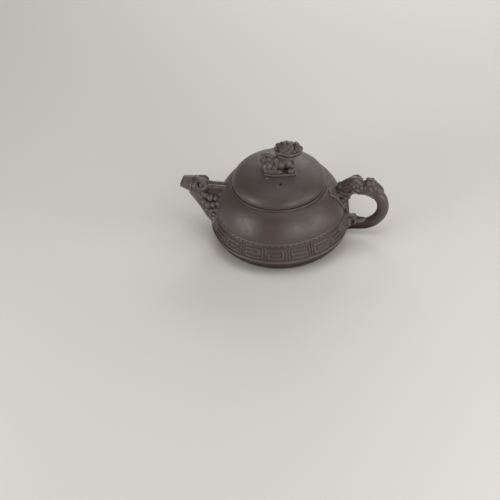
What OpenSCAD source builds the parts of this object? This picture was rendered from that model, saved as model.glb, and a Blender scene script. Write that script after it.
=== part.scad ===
// Round clay teapot: a slab-built body with a moulded relief band, a lid with a crouching
// lion for a knob, a spout that ends in a beast's open mouth, and a loop handle with a
// dragon's head biting the shoulder.
// +Z is up, +X points to the handle and -X to the spout. The origin is the centre of the
// foot, on the plane that the pot stands on.

/* [Body] */
// Outer radius of the foot ring
foot_r = 45; // [43:0.5:46]
// Height of the foot ring
foot_h = 1.5; // [1:0.1:2]
// Greatest radius, at the lower edge of the relief band
belly_r = 53.6; // [52:0.1:55]
// Height of the lower edge of the relief band
band_low_z = 13.5; // [12:0.1:15]
// Radius at the upper edge of the relief band
band_top_r = 49.4; // [48:0.1:51]
// Height of the upper edge of the relief band
band_top_z = 27.2; // [26:0.1:28.5]
// Wall thickness, measured level
wall = 3.4; // [3:0.1:4]
// Thickness of the floor slab above the foot ring
floor_t = 3; // [2.5:0.1:4]
// Thickness of the clay thread laid along each edge of the band
fillet_d = 1.6; // [1:0.1:2]

/* [Mouth] */
// Inner radius of the mouth
mouth_r = 32.2; // [31:0.1:33]
// Outer radius of the mouth collar
collar_r = 36.9; // [36.5:0.1:37.5]
// Height of the top of the mouth collar
mouth_z = 50.2; // [49.6:0.1:51]

/* [Lid] */
// Gap between the lid and the collar, on the level and round the flange
lid_gap = 0.2; // [0.1:0.05:0.3]
// Greatest radius of the lid
lid_r = 35.8; // [35:0.1:36.4]
// Height of the lid's rim above its seat
rim_h = 2.8; // [2:0.1:3.5]
// Height of the dome above the top of the rim
dome_h = 13.2; // [12:0.1:15]
// Depth of the flange that locates the lid in the mouth
flange_h = 8.5; // [6:0.1:10]
// Radius of the steam vent
vent_r = 1.3; // [1:0.1:1.6]
// Distance of the steam vent from the lid's centre
vent_x = 21; // [20:0.1:23]
// Angle by which the lid and its knob are turned against the handle
lid_turn_deg = 8; // [-20:1:20]

/* [Spout] */
// Radius of the channel at the pouring end
spout_bore_r = 3.7; // [3.4:0.1:3.9]
// Radius of the channel where it leaves the body
root_bore_r = 6.5; // [6:0.1:7]
// Number of holes in the ring of the strainer
strainer_holes = 6; // [5:1:7]

/* [Handle] */
// Radius of the loop, to the middle of the clay roll
loop_r = 17.7; // [17:0.1:18.2]
// Half thickness of the clay roll at its lower end
roll_low_r = 4.2; // [3.8:0.1:4.6]
// Half thickness of the clay roll at its upper end
roll_top_r = 4.9; // [4.6:0.1:5.2]

/* [Hidden] */
$fn = 96;
FINE = 180;
SWEEP_SIDES = 20;
BLOB_FN = 22;

clay = [0.30, 0.27, 0.265];
clay_band = [0.34, 0.28, 0.27];
clay_trim = [0.27, 0.255, 0.25];
clay_lid = [0.32, 0.285, 0.28];

inner_foot_r = foot_r - 5;
floor_r = foot_r - 1;
wall_z = foot_h;
floor_z = foot_h + floor_t;
shoulder_top_z = 49;
shoulder_top_r = collar_r + 0.6;
collar_low_z = 45;

lid_z = mouth_z + lid_gap;
rim_z = lid_z + rim_h;
dome_z = rim_z + dome_h;
flange_r = mouth_r - lid_gap;
flange_in_r = flange_r - 3.2;
lid_roof_t = 4.2;

// Middle of the handle's loop, as distance from the pot's axis and height
loop_x = 61.8;
loop_z = 27.3;
// Middle of the spout's root on the body wall, as distance and height, and its slope
root_x = 47.5;
root_z = 22.5;
root_slope = 38;

// ---- Curves ----

// Point of a cubic Bezier curve at t from 0 to 1; the points may hold radii as well
function bezier(p, t) =
    let (u = 1 - t)
    u * u * u * p[0] + 3 * u * u * t * p[1] + 3 * u * t * t * p[2] + t * t * t * p[3];

function bezier_path(p, n) = [for (i = [0:n]) bezier(p, i / n)];

function reversed(list) = [for (i = [len(list) - 1:-1:0]) list[i]];

function shifted_in(list, t) = [for (p = list) [p[0] - t, p[1]]];

// Outlines of the body, from the foot to the shoulder
lower_curve = bezier_path([
    [foot_r + 1, wall_z], [foot_r + 4.5, 4.2], [belly_r - 0.1, 9.5], [belly_r, band_low_z]
], 10);
band_curve = bezier_path([
    [belly_r, band_low_z], [belly_r - 0.2, 18], [band_top_r + 2, 22.8], [band_top_r, band_top_z]
], 8);
shoulder_curve = bezier_path([
    [band_top_r, band_top_z], [band_top_r - 0.1, 34.8], [shoulder_top_r + 5.5, 46.6],
    [shoulder_top_r, shoulder_top_z]
], 14);
shoulder_inner_curve = bezier_path([
    [band_top_r - wall, band_top_z], [band_top_r - wall, 33.2], [41, 42.6],
    [collar_r, collar_low_z]
], 12);

// Outlines of the lid's dome, outside and inside
dome_curve = bezier_path([
    [lid_r - 0.1, rim_z], [lid_r - 2.8, rim_z + 9.8], [12, dome_z], [0, dome_z]
], 14);
dome_inner_curve = bezier_path([
    [flange_in_r, lid_z], [flange_in_r - 1.5, lid_z + 7], [10, dome_z - lid_roof_t],
    [0, dome_z - lid_roof_t]
], 12);

// ---- Shapes ----

// One ring of a sweep: round the point [distance, height, half height, half width], and
// clockwise as seen from the path's start
function sweep_ring(path, i, sides) =
    let (
        last = len(path) - 1,
        a = path[max(i - 1, 0)],
        b = path[min(i + 1, last)],
        run = [b[0] - a[0], b[1] - a[1]],
        t = run / norm(run),
        p = path[i]
    )
    [for (k = [0:sides - 1])
        let (q = -360 * k / sides, h = p[2] * cos(q), w = p[3] * sin(q))
        [p[0] - t[1] * h, w, p[1] + t[0] * h]];

function sweep_points(path, sides) =
    [for (i = [0:len(path) - 1]) each sweep_ring(path, i, sides)];

// Triangles between the rings of a sweep, with the first ring at point number base
function skin_faces(rings, sides, base, inward) =
    [for (i = [0:rings - 2], k = [0:sides - 1], half = [0, 1])
        let (
            a = base + i * sides + k,
            b = base + i * sides + (k + 1) % sides,
            tri = half == 0 ? [a, a + sides, b] : [b, a + sides, b + sides]
        )
        inward ? reversed(tri) : tri];

// Solid roll of clay along a path in the XZ plane
module roll(path, sides = SWEEP_SIDES) {
    rings = len(path);
    last = (rings - 1) * sides;
    polyhedron(
        points = sweep_points(path, sides),
        faces = concat(
            [[for (k = [0:sides - 1]) k]],
            [[for (k = [sides - 1:-1:0]) last + k]],
            skin_faces(rings, sides, 0, false)
        ),
        convexity = 8
    );
}

// Tube along a path in the XZ plane, hollow along a bore path with as many points
module tube(path, bore_path, sides = SWEEP_SIDES) {
    rings = len(path);
    inner = rings * sides;
    last = (rings - 1) * sides;
    polyhedron(
        points = concat(sweep_points(path, sides), sweep_points(bore_path, sides)),
        faces = concat(
            skin_faces(rings, sides, 0, false),
            skin_faces(rings, sides, inner, true),
            [for (k = [0:sides - 1], half = [0, 1])
                let (n = (k + 1) % sides)
                half == 0 ? [k, n, inner + n] : [k, inner + n, inner + k]],
            [for (k = [0:sides - 1], half = [0, 1])
                let (n = (k + 1) % sides, a = last + k, b = last + n)
                half == 0 ? [b, a, inner + a] : [b, inner + a, inner + b]]
        ),
        convexity = 8
    );
}

// Rounded lump that joins balls, each [x, y, z, radius]
module blob(balls) {
    hull()
        for (b = balls)
            translate([b[0], b[1], b[2]]) sphere(b[3], $fn = BLOB_FN);
}

module ball(x, y, z, r) {
    translate([x, y, z]) sphere(r);
}

// Places its children on both sides of the XZ plane
module both_sides() {
    children();
    mirror([0, 1, 0]) children();
}

// Rolled-up scroll of clay: a ring with a bead in it, facing along -Y
module scroll(r, roll_r) {
    rotate([90, 0, 0]) rotate_extrude() translate([r, 0]) circle(roll_r, $fn = 24);
    sphere(r - roll_r * 0.4, $fn = 48);
}

module revolve(points) {
    rotate_extrude($fn = FINE) polygon(points);
}

module towards_spout() {
    rotate([0, 0, 180]) children();
}

// ---- Body ----

// Floor slab with a flat underside that is flush with the foot ring round it
module base_plate() {
    color(clay) revolve([
        [0, 0], [inner_foot_r, 0], [inner_foot_r, foot_h], [floor_r, foot_h],
        [floor_r, floor_z], [0, floor_z]
    ]);
}

module foot_ring() {
    edge = 0.5;
    color(clay) revolve([
        [inner_foot_r, foot_h], [inner_foot_r, edge], [inner_foot_r + edge, 0],
        [foot_r - edge, 0], [foot_r, edge], [foot_r, foot_h]
    ]);
}

module lower_wall() {
    color(clay) revolve(concat(
        lower_curve,
        [[belly_r - wall, band_low_z], [belly_r - wall - 0.6, 10], [floor_r + 2.6, floor_z],
         [floor_r, floor_z], [floor_r, wall_z]]
    ));
}

module clay_thread(r, z) {
    rotate_extrude($fn = FINE) translate([r, z]) circle(fillet_d / 2, $fn = 24);
}

// Straight cutter along the root of the spout
module spout_root_bore() {
    towards_spout() translate([root_x, 0, root_z]) rotate([0, 90 - root_slope, 0])
        translate([0, 0, -14]) cylinder(h = 24, r = root_bore_r);
}

module band_fillet_lower() {
    color(clay_band) clay_thread(belly_r - 0.5, band_low_z - 0.2);
}

module relief_band() {
    color(clay_band) difference() {
        revolve(concat(band_curve, reversed(shifted_in(band_curve, wall))));
        spout_root_bore();
    }
}

module band_fillet_upper() {
    color(clay_band) clay_thread(band_top_r - 0.2, band_top_z + 0.2);
}

module shoulder() {
    color(clay) difference() {
        revolve(concat(
            shoulder_curve,
            [[collar_r, shoulder_top_z], [collar_r, collar_low_z]],
            reversed(shoulder_inner_curve)
        ));
        spout_root_bore();
    }
}

module mouth_collar() {
    edge = 0.8;
    color(clay) revolve([
        [mouth_r, collar_low_z], [collar_r, collar_low_z], [collar_r, mouth_z - 1.2],
        [collar_r - 0.3, mouth_z - 0.4], [collar_r - edge, mouth_z],
        [mouth_r + edge / 2, mouth_z], [mouth_r, mouth_z - edge / 2]
    ]);
}

// Pierced disc pressed over the spout's root from inside
module strainer() {
    disc_r = root_bore_r - 0.1;
    hole_r = 1.1;
    color(clay) towards_spout() translate([root_x, 0, root_z])
        rotate([0, 90 - root_slope, 0]) translate([0, 0, -1]) difference() {
            cylinder(h = 2, r = disc_r);
            translate([0, 0, -1]) cylinder(h = 4, r = hole_r);
            for (i = [0:strainer_holes - 1])
                rotate([0, 0, 360 * i / strainer_holes]) translate([disc_r * 0.6, 0, -1])
                    cylinder(h = 4, r = hole_r);
        }
}

// ---- Spout ----

SPOUT_STEPS = 18;
spout_curve = bezier_path([
    [root_x, root_z, 11, 11.5], [54, 27, 8.4, 9], [63.5, 42, 5.4, 5.8], [74, 49.2, 4.8, 5.2]
], SPOUT_STEPS);
spout_bore_curve = [for (i = [0:SPOUT_STEPS])
    let (p = spout_curve[i], r = root_bore_r + (spout_bore_r - root_bore_r) * i / SPOUT_STEPS)
    [p[0], p[1], r, r]];

module spout_tube() {
    color(clay) towards_spout() tube(spout_curve, spout_bore_curve);
}

// Snout and skull, a thick sleeve round the last part of the tube
module spout_head() {
    first = 8;
    swell = [0.3, 1.2, 2.2, 3.0, 3.4, 3.2, 2.4, 1.5, 0.8, 0.5, 0.5];
    lift = [0, 0.5, 1.0, 1.5, 1.9, 1.9, 1.5, 1.0, 0.4, 0.1, 0];
    outer = [for (i = [first:SPOUT_STEPS])
        let (p = spout_curve[i], s = swell[i - first])
        [p[0], p[1] + lift[i - first], p[2] + s, p[3] + s * 0.8]];
    bore = [for (i = [first:SPOUT_STEPS])
        let (p = spout_bore_curve[i])
        [p[0], p[1], p[2] + 0.4, p[3] + 0.4]];
    color(clay_trim) towards_spout() tube(outer, bore);
}

module spout_jaw() {
    path = bezier_path([
        [59, 34.5, 1.6, 2.5], [63, 36.4, 2, 4], [68, 40.6, 2, 4.4], [73.4, 44.9, 1.4, 3.2]
    ], 8);
    color(clay_trim) towards_spout() roll(path, 16);
}

module spout_eyes() {
    color(clay_trim) towards_spout() both_sides() {
        ball(59.8, 4.8, 49.3, 1.8);
        ball(57.2, 3.6, 49.6, 2.2);
    }
}

// Two horns laid back along the neck, side by side
module spout_horns() {
    path = bezier_path([
        [59.5, 48, 1.6, 1.8], [54, 46.4, 2.4, 2], [48.5, 44.8, 2.6, 2.2], [42.6, 44.6, 2.4, 2]
    ], 8);
    color(clay_trim) towards_spout() both_sides() translate([0, 2.2, 0]) roll(path, 16);
}

// Scrolls of the mane along both sides of the neck
module spout_mane() {
    scroll_r = 1.8;
    roll_r = 0.9;
    rows = 3;
    color(clay_trim) towards_spout() both_sides()
        for (row = [0:rows - 1], i = [0:2 - row % 2])
            let (
                p = bezier([[52.5, 24], [55, 28], [57, 33], [62.5, 36]], (row + 0.3) / rows),
                reach = 9.4 - 0.8 * row
            )
            translate([p[0] - 3.4 * i, reach - 0.3 * i, p[1] + 3.4 * i])
                mirror([0, 1, 0]) scroll(scroll_r, roll_r);
}

// ---- Handle ----

LOOP_STEPS = 16;
// Half thickness of the loop at a share t of its way from the lower end to the upper end
function loop_half(t) = roll_low_r + (roll_top_r - roll_low_r) * t;

module handle_loop() {
    arm = [for (x = [51.2, 54.5, 58]) [x, loop_z - loop_r, roll_low_r, roll_low_r]];
    arc = [for (i = [0:LOOP_STEPS])
        let (q = -90 + 180 * i / LOOP_STEPS, r = loop_half(i / LOOP_STEPS))
        [loop_x + loop_r * cos(q), loop_z + loop_r * sin(q), r, r]];
    neck = [for (x = [58, 54]) [x, loop_z + loop_r, roll_top_r, roll_top_r]];
    color(clay) roll(concat(arm, arc, neck), 24);
}

module handle_head() {
    color(clay_trim) union() {
        blob([[60, 2.4, 48.2, 5.6], [60, -2.4, 48.2, 5.6], [50.5, 0, 46, 4.3]]);
        blob([[51.5, 2, 45.8, 3.9], [51.5, -2, 45.8, 3.9], [46.5, 0, 46, 3.1]]);
    }
}

// Outline of the lower jaw on the shoulder, seen along X; it spreads to -Y by the collar
jaw_outline = [
    [-2.6, 48.9], [-7.7, 48.3], [-11.9, 47], [-10.4, 44.1], [-8.9, 40.1], [-7.7, 33.8],
    [-3.3, 27.6], [3.3, 27.6], [7.4, 33.8], [5.6, 39.6], [2.8, 44.4]
];

// Flat lower jaw under the dragon's mouth, with a rib of beard down the middle of it
module handle_jaw() {
    jaw_t = 1.3;
    beard = bezier_path([
        [47.9, 40.5, 3.4, 3.8], [50.2, 34.5, 3.4, 3.6], [50.4, 28, 2.4, 3], [52.8, 20.4, 1.2, 1.4]
    ], 8);
    color(clay_trim) difference() {
        union() {
            intersection() {
                revolve(concat(
                    [for (p = shoulder_curve) [p[0] + jaw_t, p[1] + jaw_t * 0.6]],
                    reversed([for (p = shoulder_curve) [p[0] - 0.8, p[1]]])
                ));
                rotate([90, 0, 90]) linear_extrude(60) polygon(jaw_outline);
            }
            roll(beard, 16);
        }
        cylinder(h = 120, r = collar_r + 0.9, $fn = FINE);
    }
}

module handle_brows() {
    color(clay_trim) both_sides() {
        ball(58.8, 3.6, 51.9, 2.2);
        ball(55.8, 4.4, 49.6, 1.9);
        ball(62.4, 4.6, 48.2, 2.1);
    }
}

// Curled tuft on the top of the loop, behind the dragon's head
module handle_crest() {
    path = bezier_path([
        [63.5, 49, 1.8, 3], [67.4, 49.6, 3, 4], [70, 53.4, 3.4, 4.2], [77, 43.5, 2, 3]
    ], 12);
    color(clay_trim) roll(path);
}

module handle_rosettes() {
    color(clay_trim) both_sides() {
        translate([49.6, 4, 36.4]) scroll(2, 1);
        translate([54, 4.6, 40.8]) scroll(1.7, 0.9);
        translate([59.4, 4.8, 41.8]) scroll(1.7, 0.9);
        translate([66, 4.9, 46.6]) scroll(1.6, 0.8);
        translate([71.4, 4.4, 44.8]) scroll(1.6, 0.8);
    }
}

// Curl that covers the joint between the roll's lower end and the wall
module handle_curl() {
    color(clay_trim) both_sides() translate([55.2, 3.7, 13.2]) scroll(2.9, 1.2);
}

// ---- Lid ----

module lid_flange() {
    edge = 0.6;
    low_z = lid_z - flange_h;
    color(clay_lid) revolve([
        [flange_in_r, lid_z], [flange_in_r, low_z], [flange_r - edge, low_z],
        [flange_r, low_z + edge], [flange_r, lid_z]
    ]);
}

module dome_outline() {
    polygon(concat([[0, lid_z], [lid_r - 0.8, lid_z], [lid_r, lid_z + 1]], dome_curve));
}

module lid_dome() {
    color(clay_lid) difference() {
        rotate_extrude($fn = FINE) difference() {
            dome_outline();
            polygon(concat([[0, lid_z - 1], [flange_in_r, lid_z - 1]], dome_inner_curve));
        }
        turned() translate([0, -vent_x, lid_z]) cylinder(h = 40, r = vent_r);
    }
}

module turned() {
    rotate([0, 0, lid_turn_deg]) children();
}

// The knob's long axis lies along X before it is turned with the lid
module knob_plinth() {
    corner = 4.5;
    low_z = dome_z - 3;
    color(clay_lid) difference() {
        turned() hull()
            for (x = [-12 + corner, 12.8 - corner], y = [-14 + corner, 7.5 - corner])
                translate([x, y, low_z]) cylinder(h = 3.9, r = corner, $fn = 32);
        rotate_extrude($fn = FINE) dome_outline();
    }
}

module lion_body() {
    color(clay_trim) turned() union() {
        blob([[-7, -3, dome_z + 5.4, 5.2], [2, -3, dome_z + 5.6, 5.6], [7, -3, dome_z + 6.4, 5]]);
        blob([[6.5, -3, dome_z + 7, 4.6], [8, -2.5, dome_z + 13, 4.2]]);
    }
}

module lion_legs() {
    mid = -3;
    low = dome_z + 2.4;
    color(clay_trim) turned() for (side = [-1, 1]) {
        blob([[-8.5, mid + 4.6 * side, low + 2, 4.2], [-9.2, mid + 5.4 * side, low, 3.2]]);
        blob([[-8.6, mid + 7 * side, low - 0.2, 2.1], [-0.4, mid + 8.8 * side, low - 0.6, 1.6]]);
        blob([[6.8, mid + 4.4 * side, low + 3.4, 3], [10.8, mid + 6.4 * side, low - 0.3, 1.8]]);
        blob([[10.8, mid + 6.4 * side, low - 0.3, 1.8], [8.6, mid + 8.8 * side, low - 0.5, 1.8]]);
    }
}

module lion_head() {
    z = dome_z + 16.6;
    color(clay_trim) turned() union() {
        blob([[4.6, -2.4, z, 4.4], [8.4, -2.6, z + 0.6, 5.2], [12.6, -2.2, z, 4.4]]);
        blob([[6, -5, z - 4, 2], [10, -5.4, z - 4.4, 2.2]]);
    }
}

// Curls that stand round the lion's head
module lion_mane() {
    lobes = 10;
    z = dome_z + 15.6;
    color(clay_trim) turned() for (i = [0:lobes - 1])
        let (q = 360 * (i + 0.5) / lobes)
        ball(8.5 + 8.6 * cos(q), -1.4 + 5 * sin(q), z + 1.4 * cos(3 * q), 2.6);
}

module lion_tail() {
    path = bezier_path([
        [-10, dome_z + 6, 2, 2.4], [-14, dome_z + 9, 2, 2.2], [-10, dome_z + 13, 1.8, 2],
        [-5.5, dome_z + 9.5, 1.2, 1.6]
    ], 10);
    color(clay_trim) turned() translate([0, -3, 0]) roll(path, 16);
}

base_plate();
foot_ring();
lower_wall();
band_fillet_lower();
relief_band();
band_fillet_upper();
shoulder();
mouth_collar();
strainer();
spout_tube();
spout_head();
spout_jaw();
spout_eyes();
spout_horns();
spout_mane();
handle_loop();
handle_head();
handle_jaw();
handle_brows();
handle_crest();
handle_rosettes();
handle_curl();
lid_flange();
lid_dome();
knob_plinth();
lion_body();
lion_legs();
lion_head();
lion_mane();
lion_tail();
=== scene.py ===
import math

import bpy
import numpy as np
from mathutils import Euler, Matrix, Vector


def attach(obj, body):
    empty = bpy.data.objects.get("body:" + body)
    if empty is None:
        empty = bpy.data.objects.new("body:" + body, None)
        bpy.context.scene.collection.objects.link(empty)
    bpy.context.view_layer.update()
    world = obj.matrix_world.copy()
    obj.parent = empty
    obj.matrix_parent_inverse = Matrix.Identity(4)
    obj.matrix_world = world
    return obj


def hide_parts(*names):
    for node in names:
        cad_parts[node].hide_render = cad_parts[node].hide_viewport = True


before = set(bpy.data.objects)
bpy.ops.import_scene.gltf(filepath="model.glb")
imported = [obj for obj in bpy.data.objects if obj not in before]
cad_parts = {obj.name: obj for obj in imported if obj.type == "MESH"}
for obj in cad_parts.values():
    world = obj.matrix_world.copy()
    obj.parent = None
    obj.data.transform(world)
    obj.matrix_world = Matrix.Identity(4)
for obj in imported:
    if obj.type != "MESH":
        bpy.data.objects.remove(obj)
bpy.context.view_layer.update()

# Shapes are worked out in millimetres and put into the scene in metres.
MM = 0.001


# ---------------------------------------------------------------- curves

def bezier(points, t):
    """Points of a cubic Bezier curve, for one t or an array of them."""
    p = np.asarray(points, float)
    t = np.atleast_1d(np.asarray(t, float))[:, None]
    u = 1 - t
    return u ** 3 * p[0] + 3 * u * u * t * p[1] + 3 * u * t * t * p[2] + t ** 3 * p[3]


def smooth_line(points, per_span=6):
    """A smooth curve through points that may also hold a radius (Catmull-Rom)."""
    p = np.asarray(points, float)
    if len(p) < 3:
        return p
    padded = np.vstack([2 * p[0] - p[1], p, 2 * p[-1] - p[-2]])
    out = []
    for i in range(len(p) - 1):
        a, b, c, d = padded[i:i + 4]
        for u in np.arange(per_span) / per_span:
            out.append(0.5 * (2 * b + (c - a) * u + (2 * a - 5 * b + 4 * c - d) * u * u
                              + (3 * b - a - 3 * c + d) * u ** 3))
    out.append(p[-1])
    return np.array(out)


def unit(v):
    v = np.asarray(v, float)
    return v / np.linalg.norm(v)


# ---------------------------------------------------------------- clay modelling

def ball(centre, radius):
    c = np.asarray(centre, float)

    def distance(x, y, z):
        return np.sqrt((x - c[0]) ** 2 + (y - c[1]) ** 2 + (z - c[2]) ** 2) - radius

    return c - radius, c + radius, distance


def egg(centre, radii, turn=(0, 0, 0)):
    """Ellipsoid with its own axes turned by the given angles about X, Y and Z, in degrees."""
    c = np.asarray(centre, float)
    r = np.asarray(radii, float)
    m = np.array(Euler([math.radians(a) for a in turn]).to_matrix())
    reach = np.sqrt((m ** 2) @ (r ** 2))

    def distance(x, y, z):
        p = (x - c[0], y - c[1], z - c[2])
        q = [m[0][i] * p[0] + m[1][i] * p[1] + m[2][i] * p[2] for i in range(3)]
        near = np.sqrt(sum((q[i] / r[i]) ** 2 for i in range(3)))
        slope = np.sqrt(sum((q[i] / r[i] ** 2) ** 2 for i in range(3)))
        return near * (near - 1) / np.maximum(slope, 1e-6)

    return c - reach, c + reach, distance


def roll(points, per_span=6):
    """Roll of clay along a smooth line of points, each [x, y, z, radius]."""
    line = smooth_line(points, per_span)
    low = (line[:, :3] - line[:, 3:]).min(0)
    high = (line[:, :3] + line[:, 3:]).max(0)

    def distance(x, y, z):
        nearest = None
        for a, b in zip(line[:-1], line[1:]):
            along = b[:3] - a[:3]
            length = max(float(along @ along), 1e-9)
            t = ((x - a[0]) * along[0] + (y - a[1]) * along[1] + (z - a[2]) * along[2]) / length
            t = np.clip(t, 0, 1)
            d = np.sqrt((x - a[0] - t * along[0]) ** 2 + (y - a[1] - t * along[1]) ** 2
                        + (z - a[2] - t * along[2]) ** 2) - (a[3] + (b[3] - a[3]) * t)
            nearest = d if nearest is None else np.minimum(nearest, d)
        return nearest

    return low, high, distance


class Clay:
    """A lump of clay: distances to its surface on a grid, below zero inside.

    With fold, what is modelled at +Y is mirrored to -Y."""

    FAR = 6.0

    def __init__(self, low, high, step, fold=False):
        self.step = step
        self.fold = fold
        self.axes = [np.arange(a - 2 * step, b + 2.5 * step, step) for a, b in zip(low, high)]
        self.field = np.full([len(a) for a in self.axes], self.FAR, np.float32)

    def window(self, low, high, margin):
        """The part of the grid round a box, and its coordinates."""
        low, high = np.array(low, float) - margin, np.array(high, float) + margin
        if self.fold:
            low[1], high[1] = -high[1], high[1]
        parts = []
        for axis, a, b in zip(self.axes, low, high):
            i, j = np.searchsorted(axis, [a, b])
            parts.append(slice(max(i - 1, 0), max(j + 1, 0)))
        x, y, z = [axis[part].astype(np.float32) for axis, part in zip(self.axes, parts)]
        if self.fold:
            y = np.abs(y)
        return tuple(parts), (x[:, None, None], y[None, :, None], z[None, None, :])

    def add(self, shape, blend=0.8):
        """Presses a shape on, with a fillet of about the given size."""
        part, at = self.window(shape[0], shape[1], blend + 3 * self.step)
        if min(self.field[part].shape) == 0:
            return
        self.field[part] = smooth_min(self.field[part], shape[2](*at), blend)

    def cut(self, shape, blend=0.3):
        part, at = self.window(shape[0], shape[1], blend + 3 * self.step)
        if min(self.field[part].shape) == 0:
            return
        self.field[part] = -smooth_min(-self.field[part], shape[2](*at), blend)

    def everywhere(self, distance):
        x, y, z = [axis.astype(np.float32) for axis in self.axes]
        if self.fold:
            y = np.abs(y)
        return distance(x[:, None, None], y[None, :, None], z[None, None, :])

    def keep(self, distance):
        """Keeps only what lies where distance is below zero."""
        self.field = np.maximum(self.field, self.everywhere(distance)).astype(np.float32)


def smooth_min(a, b, blend):
    near = np.maximum(blend - np.abs(a - b), 0) / blend
    return np.minimum(a, b) - near * near * blend * 0.25


def box_blur(field, reach):
    """Mean over a cube of 2 * reach + 1 cells."""
    for axis in range(3):
        pad = [(0, 0)] * 3
        pad[axis] = (reach + 1, reach)
        total = np.cumsum(np.pad(field, pad, mode="edge"), axis=axis, dtype=np.float64)
        size = field.shape[axis]
        ahead = np.take(total, np.arange(2 * reach + 1, 2 * reach + 1 + size), axis=axis)
        behind = np.take(total, np.arange(size), axis=axis)
        field = ((ahead - behind) / (2 * reach + 1)).astype(np.float32)
    return field


CORNERS = [(i, j, k) for i in (0, 1) for j in (0, 1) for k in (0, 1)]
EDGES = [(a, b) for a in range(8) for b in range(a + 1, 8)
         if sum(abs(CORNERS[a][n] - CORNERS[b][n]) for n in range(3)) == 1]


def skin(field, origin, step):
    """Surface of a field by naive surface nets: points, four-sided faces and each point's cell."""
    inside = field < 0
    count = np.zeros([n - 1 for n in field.shape], np.int8)
    for i, j, k in CORNERS:
        count += inside[i:i + count.shape[0], j:j + count.shape[1], k:k + count.shape[2]]
    cells = np.argwhere((count > 0) & (count < 8))
    index = np.full(count.shape, -1, np.int64)
    index[tuple(cells.T)] = np.arange(len(cells))
    values = [field[tuple((cells + c).T)] for c in CORNERS]
    total = np.zeros((len(cells), 3))
    crossings = np.zeros(len(cells))
    for a, b in EDGES:
        crossed = (values[a] < 0) != (values[b] < 0)
        t = values[a][crossed] / (values[a][crossed] - values[b][crossed])
        start, end = np.array(CORNERS[a], float), np.array(CORNERS[b], float)
        total[crossed] += start + t[:, None] * (end - start)
        crossings[crossed] += 1
    points = origin + step * (cells + total / crossings[:, None])
    faces = []
    for axis in range(3):
        lo = [slice(1, -1)] * 3
        hi = [slice(1, -1)] * 3
        lo[axis], hi[axis] = slice(0, -1), slice(1, None)
        first, second = inside[tuple(lo)], inside[tuple(hi)]
        u, v = [n for n in range(3) if n != axis]
        for leaving in (True, False):
            at = np.argwhere(first & ~second if leaving else ~first & second)
            for n in (u, v):
                at[:, n] += 1
            ring = []
            for du, dv in ((0, 0), (1, 0), (1, 1), (0, 1)):
                cell = at.copy()
                cell[:, u] -= du
                cell[:, v] -= dv
                ring.append(index[tuple(cell.T)])
            quad = np.stack(ring, 1)
            if leaving == (axis == 1):
                quad = quad[:, ::-1]
            faces.append(quad)
    return points, np.vstack(faces), cells


def hollows(clay, cells):
    """How deep in a hollow each point lies: about -1 on a ridge, 1 in a groove."""
    field = np.clip(clay.field, -3, 3)
    here = tuple(cells.T)
    depth = np.zeros(len(cells), np.float32)
    for size, scale in ((0.7, 0.3), (1.7, 1.1)):
        soft = box_blur(field, max(1, round(size / clay.step)))
        depth -= (soft[here] - field[here]) / scale
    return depth


# ---------------------------------------------------------------- meshes

def new_object(name, points, faces, smooth=True):
    """A mesh object from points in millimetres."""
    mesh = bpy.data.meshes.new(name)
    mesh.from_pydata((np.asarray(points) * MM).tolist(), [], [list(map(int, f)) for f in faces])
    mesh.validate()
    mesh.update()
    mesh.polygons.foreach_set("use_smooth", np.full(len(mesh.polygons), smooth))
    piece = bpy.data.objects.new(name, mesh)
    bpy.context.scene.collection.objects.link(piece)
    return piece


def add_hollow_attribute(piece, values):
    attribute = piece.data.attributes.new("hollow", "FLOAT", "POINT")
    attribute.data.foreach_set("value", np.clip(values, -1.5, 1.5).astype(np.float32))


def sculpt(name, clay, to_spout=False, turn_deg=0):
    """The finished mesh of a lump of clay. to_spout turns what was modelled along +X to -X."""
    origin = np.array([axis[0] for axis in clay.axes])
    points, faces, cells = skin(clay.field, origin, clay.step)
    depth = hollows(clay, cells)
    angle = math.radians(180 if to_spout else turn_deg)
    turn = np.array([[math.cos(angle), -math.sin(angle), 0],
                     [math.sin(angle), math.cos(angle), 0], [0, 0, 1]])
    piece = new_object(name, points @ turn.T, faces)
    # the hollow depth drives the painted shade in hollows and the painted highlight on ridges
    add_hollow_attribute(piece, depth)
    return piece


def lathe(name, outline, segments=384, wave=0.0, seed=1):
    """Turned solid from a closed outline of [radius, height] points, listed anticlockwise in
    the plane of radius and height. wave is the size of its hand-made unevenness."""
    outline = np.asarray(outline, float)
    angles = np.arange(segments) * 2 * math.pi / segments
    rng = np.random.default_rng(seed)
    uneven = np.zeros(segments)
    for k in (2, 3, 5, 7):
        uneven += rng.uniform(0.3, 1) / k * np.cos(k * angles + rng.uniform(0, 6.28))
    points, rings = [], []
    for r, z in outline:
        if r < 1e-6:
            rings.append([len(points)])
            points.append([0, 0, z])
            continue
        rings.append(list(range(len(points), len(points) + segments)))
        out = r + wave * uneven
        points += np.stack([out * np.cos(angles), out * np.sin(angles),
                            np.full(segments, z)], 1).tolist()
    faces = []
    for n in range(len(rings)):
        a, b = rings[n], rings[(n + 1) % len(rings)]
        if len(a) == 1 and len(b) == 1:
            continue
        for k in range(segments):
            m = (k + 1) % segments
            if len(a) == 1:
                faces.append((a[0], b[m], b[k]))
            elif len(b) == 1:
                faces.append((a[k], a[m], b[0]))
            else:
                faces.append((a[k], a[m], b[m], b[k]))
    return new_object(name, points, faces)


def arc(centre, radius, start_deg, end_deg, steps=8):
    """Points of an arc in the plane of radius and height."""
    q = np.radians(np.linspace(start_deg, end_deg, steps + 1))
    return np.stack([centre[0] + radius * np.cos(q), centre[1] + radius * np.sin(q)], 1)


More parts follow.
